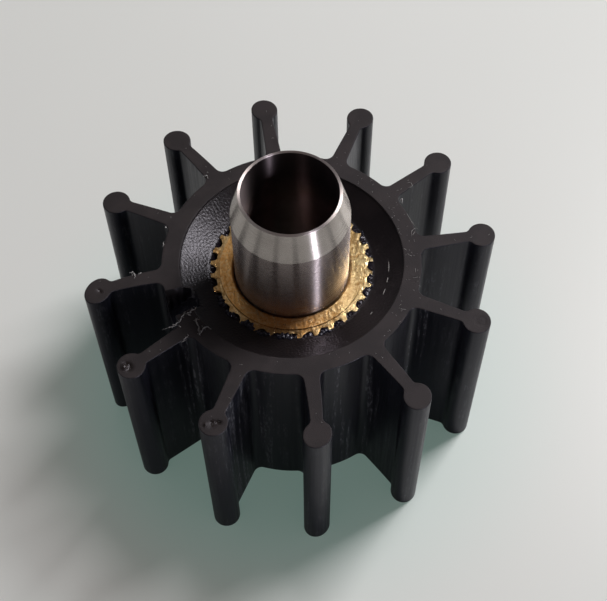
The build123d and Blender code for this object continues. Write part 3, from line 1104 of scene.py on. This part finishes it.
sleeve_corners = [
    (BORE, SLEEVE_FOOT),
    (SLEEVE - FOOT, SLEEVE_FOOT),
    (SLEEVE, SLEEVE_FOOT + FOOT),
    (SLEEVE, SLEEVE_TOP - NOSE),
    (LIP, SLEEVE_TOP),
    (BORE, SLEEVE_TOP),
]
profile, profile_edge = rounded_profile(sleeve_corners, CORNER_CUT)
closed = np.concatenate([profile, profile[:1]])
closed_edge = np.concatenate([profile_edge, profile_edge[:1]])
spin_unit = on_circle(np.linspace(0, 2 * math.pi, SPIN, endpoint=False))
tube = raised(closed[:, None, :1] * spin_unit, closed[:, 1:])
in_bore = (closed[:, 0] < BORE + 0.03 * MM).astype(float)
sleeve = make_piece(
    "ground_sleeve",
    [(tube.reshape(-1, 3), grid_faces(len(closed), SPIN))],
    steel,
    marks={"edge": [np.repeat(closed_edge, SPIN)], "bore": [np.repeat(in_bore, SPIN)]},
)
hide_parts("steel_sleeve")

# %% [markdown]
# ## Strands
# Lips of torn rubber, lint and the skin on the brass are all thin and long. One function makes
# them: an oval section is carried along a smooth path and thins to a point at both ends, so the
# ends close by themselves. Paths on the wheel are given in millimetres, seen from above. Each
# kind of strand, such as `WHISKER`, is a lift off the face, a width, a height and a count of sides.

# %% Strand
def smooth_path(points, per_span=6):
    """A Catmull-Rom curve through the points: in each span, cubic weights of the four nearest points."""
    points = np.asarray(points, float)
    around = np.concatenate([[2 * points[0] - points[1]], points, [2 * points[-1] - points[-2]]])
    t = np.linspace(0, 1, per_span, endpoint=False)[:, None]
    weights = [-t + 2 * t**2 - t**3, 2 - 5 * t**2 + 3 * t**3, t + 4 * t**2 - 3 * t**3, t**3 - t**2]
    spans = np.stack([around[:-3], around[1:-2], around[2:-1], around[3:]], 1)
    curve = np.einsum("tk,nkc->ntc", 0.5 * np.concatenate(weights, 1), spans)
    return np.concatenate([curve.reshape(-1, points.shape[1]), points[-1:]])


def strand(points, width, height, sides):
    """An oval tube on a smooth path of 3-D points. Its size is the root of sin(pi t), times a ripple."""
    path = smooth_path(points)
    t = np.linspace(0, 1, len(path))[:, None, None]
    swell = np.sqrt(np.clip(np.sin(math.pi * t), 0, 1)) * (1 - 0.25 * np.sin(9 * math.pi * t))
    swell[0] = swell[-1] = 0
    ahead = np.gradient(path, axis=0)
    beside = np.cross([0, 0, 1], ahead)
    beside /= np.linalg.norm(beside, axis=1, keepdims=True)
    over = np.cross(ahead, beside)
    over /= np.linalg.norm(over, axis=1, keepdims=True)
    turn = np.linspace(0, 2 * math.pi, sides, endpoint=False)[None, :, None]
    oval = width / 2 * np.cos(turn) * beside[:, None] + height / 2 * np.sin(turn) * over[:, None]
    tube = path[:, None] + swell * oval
    return tube.reshape(-1, 3), grid_faces(len(path), sides)


def face_level(radius):
    """Height of the upper face: flat outside the rim, then down the shallow cone of the recess."""
    cone = np.interp(radius, [cone_foot[0], cone_top[0]], [cone_foot[1], cone_top[1]])
    return WIDTH - np.where(np.asarray(radius) > RIM, 0, cone)


def laid(flat_points, lift, width, height, sides):
    """A strand on the upper face, through points in mm. Its path is an arch, so its middle stands free."""
    flat = np.array(flat_points) * MM
    arch = np.sin(np.linspace(0.15, math.pi - 0.15, len(flat)))
    path = raised(flat, face_level(np.hypot(flat[:, 0], flat[:, 1])) + lift * arch)
    return strand(path, width, height, sides)


straight_strand = strand([(0, 0, 0), (MM, 0, 0)], 0.1 * MM, 0.1 * MM, sides=7)
print(f"a strand between two places has {len(straight_strand[1])} faces")

# %% [markdown]
# ## Torn lips
# Where the mould's flash tore off, thin lips of rubber stand on the face, pale partly with dust
# and partly with a painted glint. The largest lie round the torn hollow. Their paths are listed
# and made ragged at random, and short whiskers stand off the longest.

# %% Torn lips
TORN_LIPS = [
    [(-30.5, -14.1), (-28.6, -13.6), (-27.9, -13.4), (-26.6, -12.3), (-26.2, -11.3), (-25.5, -10.6)],
    [(-25.6, -10.7), (-24.4, -10.8), (-23.7, -10.0), (-22.7, -8.8)],
    [(-23.5, -12.8), (-23.0, -12.6), (-23.3, -13.2), (-22.9, -14.4), (-22.9, -16.5)],
    [(-22.9, -16.5), (-22.1, -15.2), (-21.4, -14.9), (-20.2, -15.3)],
    [(-25.4, -16.7), (-26.3, -17.5), (-26.7, -17.8)],
    [(-28.7, -13.9), (-28.1, -13.2), (-27.5, -13.5)],
    [(-27.1, -13.7), (-26.8, -14.1)],
    [(-24.9, -11.2), (-24.2, -11.4)],
    [(-37.0, 1.8), (-36.2, 1.9), (-35.8, 1.1), (-36.0, 0.1)],
    [(-35.1, 1.1), (-34.7, 1.3), (-34.1, 1.3)],
    [(-28.4, 9.1), (-28.9, 7.7)],
    [(-27.9, 13.2), (-27.4, 12.7)],
    [(-17.6, 26.1), (-16.7, 26.3), (-16.2, 25.6)],
    [(27.5, 12.2), (28.1, 12.8), (27.9, 11.3)],
]
WHISKERED = 2 * TORN_LIPS[:5] + TORN_LIPS[8:9]
TORN_LIP, WHISKER = (0.12 * MM, 0.24 * MM, 0.36 * MM, 7), (0.18 * MM, 0.09 * MM, 0.11 * MM, 5)
RAGGED = 0.16
rng = np.random.default_rng(71)


def ragged(points, rng):
    """A lip's points with two more in each span, all but the ends moved sideways at random."""
    points = np.array(points)
    at = np.arange(3 * len(points) - 2) / 3
    dense = np.stack([np.interp(at, np.arange(len(points)), points[:, axis]) for axis in (0, 1)], -1)
    dense[1:-1] += rng.uniform(-RAGGED, RAGGED, dense[1:-1].shape)
    return dense


def heading_at_random(rng, shortest, longest):
    """A step in a random direction, as long as a random length between the two."""
    heading = rng.uniform(0, 2 * math.pi)
    return rng.uniform(shortest, longest) * on_circle(heading)


lips = [laid(ragged(lip, rng), *TORN_LIP) for lip in TORN_LIPS]
for lip in WHISKERED:
    for foot in ragged(lip, rng)[::2]:
        step = heading_at_random(rng, 0.2, 0.7)
        bend = rng.uniform(-0.3, 0.3) * step[::-1]
        whisker = foot + np.array([0 * step, step * 0.5 + bend, step])
        lips.append(laid(whisker, *WHISKER))
make_piece("torn_lips", lips, torn_rubber, smooth=80)

# %% [markdown]
# ## Lint and scuffs
# A used wheel carries short pale fibres all over, and most of this one's are at the right. The
# longest curls are listed one by one, four scuffs lie along the recess, and the rest are drawn at
# random: two thirds of them on the hub's flat ring, one third on the vanes, and none over the
# torn hollow.

# %% Lint and scuffs
FIBRES = [
    [(28.2, 1.8), (28.6, 3.4), (29.6, 4.1), (30.2, 3.8)],
    [(28.5, 2.3), (29.4, 3.3)],
    [(25.9, -0.9), (26.5, -1.6)],
    [(26.4, -2.5), (27.2, -3.3)],
    [(27.5, -6.6), (27.3, -7.8)],
    [(26.4, -9.1), (27.4, -9.1)],
    [(27.3, -11.3), (27.8, -11.7)],
    [(22.1, -16.7), (23.4, -17.1)],
    [(29.9, 17.1), (30.9, 17.1), (31.2, 16.0), (30.1, 15.7)],
    [(28.3, 8.7), (29.0, 6.3), (29.7, 4.6)],
]
SCUFF_RADIUS = 22.3
SCUFFS = [(-6.5, -14.5), (-18, -22), (-26, -30.5), (-44, -46)]
FIBRE, SCUFF = (0.08 * MM, 0.1 * MM, 0.1 * MM, 5), (0.03 * MM, 0.14 * MM, 0.1 * MM, 5)
LINT = 0.04 * MM, 0.06 * MM, 0.06 * MM, 5
LINT_COUNT, LINT_SIDE, LINT_SPREAD = 120, 0.15, 0.8
ON_RING, ON_VANE, OFF_VANE_MIDDLE = (25.9, 29.4), (30, 46), 0.9

fibres = [laid(fibre, *FIBRE) for fibre in FIBRES]
for start, end in SCUFFS:
    scuff = arc((0, 0), SCUFF_RADIUS, math.radians(start), math.radians(end), 4)
    fibres.append(laid(scuff, *SCUFF))
for number in range(LINT_COUNT):
    if number % 3:
        turn = rng.normal(LINT_SIDE, LINT_SPREAD) if number % 6 > 1 else rng.uniform(0, 2 * math.pi)
        foot = rng.uniform(*ON_RING) * on_circle(turn)
    else:
        local = np.array([rng.uniform(*ON_VANE), rng.uniform(-OFF_VANE_MIDDLE, OFF_VANE_MIDDLE)])
        foot = turned(local, vane_angle(number // 3 % VANES))
    if torn_out(foot * MM)[0] > 0:
        continue
    step = heading_at_random(rng, 0.12, 0.6)
    curl = rng.uniform(-0.4, 0.4) * np.array([-step[1], step[0]])
    curled = foot + np.array([0 * step, step / 2 + curl, step])
    fibres.append(laid(curled, *LINT))
make_piece("lint", fibres, lint, smooth=80)

# %% [markdown]
# ## Rubber skin on the teeth
# Some rubber crept over the brass before it set. It lies on the toothed ring as low glossy
# tongues, each about a tooth long: most in front and at the left, and two small ones at the right.
# A tongue is a wavy arc, given by its middle and its reach in degrees, and its radius and width
# in millimetres.

# %% Skin on the teeth
TONGUES = [
    (-75, 5, 18.7, 1.2),
    (-103, 6, 18.4, 1.6),
    (-118, 5, 18.7, 1.3),
    (-131, 6, 18.2, 1.9),
    (-146, 5, 18.6, 1.4),
    (-158, 6, 18.4, 1.6),
    (-24, 3, 18.9, 0.7),
    (21, 3, 19.0, 0.6),
]
TONGUE_WAVE, WAVE_RATE, TONGUE_THICK, TONGUE_SIDES = 0.25, 45, 0.5 * MM, 10

tongues = []
for middle, reach, radius, width in TONGUES:
    along = np.radians(np.linspace(middle - reach, middle + reach, 6))
    wavy = (radius + TONGUE_WAVE * np.sin(WAVE_RATE * along + middle)) * MM
    tongue = raised(wavy[:, None] * on_circle(along), TOOTHED_TOP)
    tongues.append(strand(tongue, width * MM, TONGUE_THICK, TONGUE_SIDES))
tongue_marks = [np.ones(len(points)) for points, faces in tongues]
make_piece("skin_on_teeth", tongues, rubber, smooth=80, marks={"gap": tongue_marks})

# %% [markdown]
# ## Camera
# The camera stands in front of the wheel, high above it and a little to the left, and is hardly
# rolled. Its sensor is 36 mm wide, and the lens is a short telephoto.

# %% Camera
AZIMUTH, ELEVATION, ROLL = math.radians(-7.824), math.radians(58.939), math.radians(-0.676)
AIM = Vector((4.61, 14.36, 8.95)) * MM
DISTANCE = 336.645 * MM
outward = math.cos(ELEVATION)
back = Vector((math.sin(AZIMUTH) * outward, -math.cos(AZIMUTH) * outward, math.sin(ELEVATION)))
level = Vector((math.cos(AZIMUTH), math.sin(AZIMUTH), 0))
upward = back.cross(level)
right = level * math.cos(ROLL) + upward * math.sin(ROLL)
up = upward * math.cos(ROLL) - level * math.sin(ROLL)
lens = bpy.data.cameras.new("camera")
lens.lens, lens.sensor_width, lens.clip_start, lens.clip_end = 75.824, 36.0, 0.01, 20.0
camera = bpy.data.objects.new("camera", lens)
facing = Matrix((right, up, back)).transposed().to_4x4()
camera.matrix_world = Matrix.Translation(AIM + back * DISTANCE) @ facing
bpy.context.scene.collection.objects.link(camera)
bpy.context.scene.camera = camera
print("camera at", [round(c, 4) for c in camera.matrix_world.translation])

# %% [markdown]
# ## Floor
# The floor is pale and plain, a little glossy, and faintly uneven in tone. It glows a little
# where the camera or a reflection sees it, greenish round the wheel like thick glass.

# %% Floor
FLOOR_HALF = 1.5
FLOOR_GREYS = (0.600, 0.608, 0.596, 1), (0.645, 0.650, 0.648, 1)
GLOW_FAR, GLOW_NEAR, GLOW, GLOW_MIRRORED = (1.0, 0.96, 0.88, 1), (0.64, 1.0, 0.87, 1), 0.14, 0.35
GREEN_ENDS, GREEN_FULL = 82 * MM, 42 * MM

floor_mesh = bpy.data.meshes.new("floor")
corner_list = [(x * FLOOR_HALF, y * FLOOR_HALF, 0) for x, y in ((-1, -1), (1, -1), (1, 1), (-1, 1))]
floor_mesh.from_pydata(corner_list, [], [(0, 1, 2, 3)])
floor = bpy.data.objects.new("floor", floor_mesh)
bpy.context.scene.collection.objects.link(floor)
table_top, tree, shader, place = start_material("pale table")
tone = blend_colour(tree, noise(tree, place, 6.0, 2.0), *FLOOR_GREYS)
tree.links.new(tone, shader.inputs["Base Color"])
shader.inputs["Roughness"].default_value = 0.35
shader.inputs["Specular IOR Level"].default_value = 0.3
seen = node(tree, "LightPath").outputs
seen_share = sums(tree, "MULTIPLY_ADD", seen["Is Glossy Ray"], GLOW_MIRRORED, seen["Is Camera Ray"])
from_middle = node(tree, "VectorMath", {0: place}, operation="LENGTH").outputs["Value"]
greener = spread_map(tree, from_middle, GREEN_ENDS, GREEN_FULL)
tree.links.new(blend_colour(tree, greener, GLOW_FAR, GLOW_NEAR), shader.inputs["Emission Color"])
tree.links.new(product(tree, seen_share, GLOW), shader.inputs["Emission Strength"])
floor_mesh.materials.append(table_top)
print(f"floor: {2 * FLOOR_HALF} m across")

# %% [markdown]
# ## Light
# A soft lamp at the back right plays the window and throws the long soft shadows to the front
# left; a sky that is pale at the horizon and dark above fills the rest, with a dim brown patch
# where a person stands and looks. Two more lamps are seen only in shiny surfaces: a tall strip
# at the front right draws the bright line down the steel, and a wide weak one high at the back
# lifts the brass.

# %% Light
HORIZON, OVERHEAD, ONLOOKER = (0.36, 0.37, 0.38, 1), (0.045, 0.047, 0.052, 1), (0.075, 0.05, 0.04, 1)
LAMP_AIM = Vector((0, 0, 0.03))


def soft_lamp(name, azimuth, elevation, distance, size, power, colour=(1, 1, 1)):
    """A square area lamp aimed at the wheel. Azimuth is anticlockwise from +X, in degrees."""
    a, e = math.radians(azimuth), math.radians(elevation)
    toward = Vector((math.cos(a) * math.cos(e), math.sin(a) * math.cos(e), math.sin(e)))
    lamp = bpy.data.lights.new(name, "AREA")
    lamp.shape, lamp.size, lamp.energy, lamp.color = "SQUARE", size, power, colour
    made = bpy.data.objects.new(name, lamp)
    made.location = LAMP_AIM + toward * distance
    made.rotation_mode = "QUATERNION"
    made.rotation_quaternion = toward.to_track_quat("Z", "Y")
    bpy.context.scene.collection.objects.link(made)
    print(f"{name}: {power} W from {distance} m")
    return made


soft_lamp("window", 32, 49, 1.1, 0.36, 11.1, (1.0, 0.995, 0.99))
strip = soft_lamp("strip", -59, 12, 0.7, 0.044, 3.4, (0.87, 0.87, 1.0))
strip.data.shape, strip.data.size_y = "RECTANGLE", 0.3
ceiling = soft_lamp("ceiling", 85, 60, 1.2, 0.6, 0.45, (1.0, 0.97, 0.95))
for lamp in (strip, ceiling):
    lamp.visible_diffuse = lamp.visible_camera = False
world = bpy.data.worlds.new("sky")
bpy.context.scene.world = world
world.use_nodes = True
sky = world.node_tree
direction = node(sky, "TexCoord").outputs["Generated"]
rise = node(sky, "SeparateXYZ", {0: direction}).outputs[2]
tone = blend_colour(sky, spread_map(sky, rise, 0.0, 0.7), HORIZON, OVERHEAD)
toward_back = {0: direction, 1: tuple(back)}
closeness = node(sky, "VectorMath", toward_back, operation="DOT_PRODUCT").outputs["Value"]
tone = blend_colour(sky, spread_map(sky, closeness, 0.7, 0.93), tone, ONLOOKER)
sky.links.new(tone, sky.nodes["Background"].inputs["Color"])
bpy.context.scene.view_settings.view_transform = "Standard"
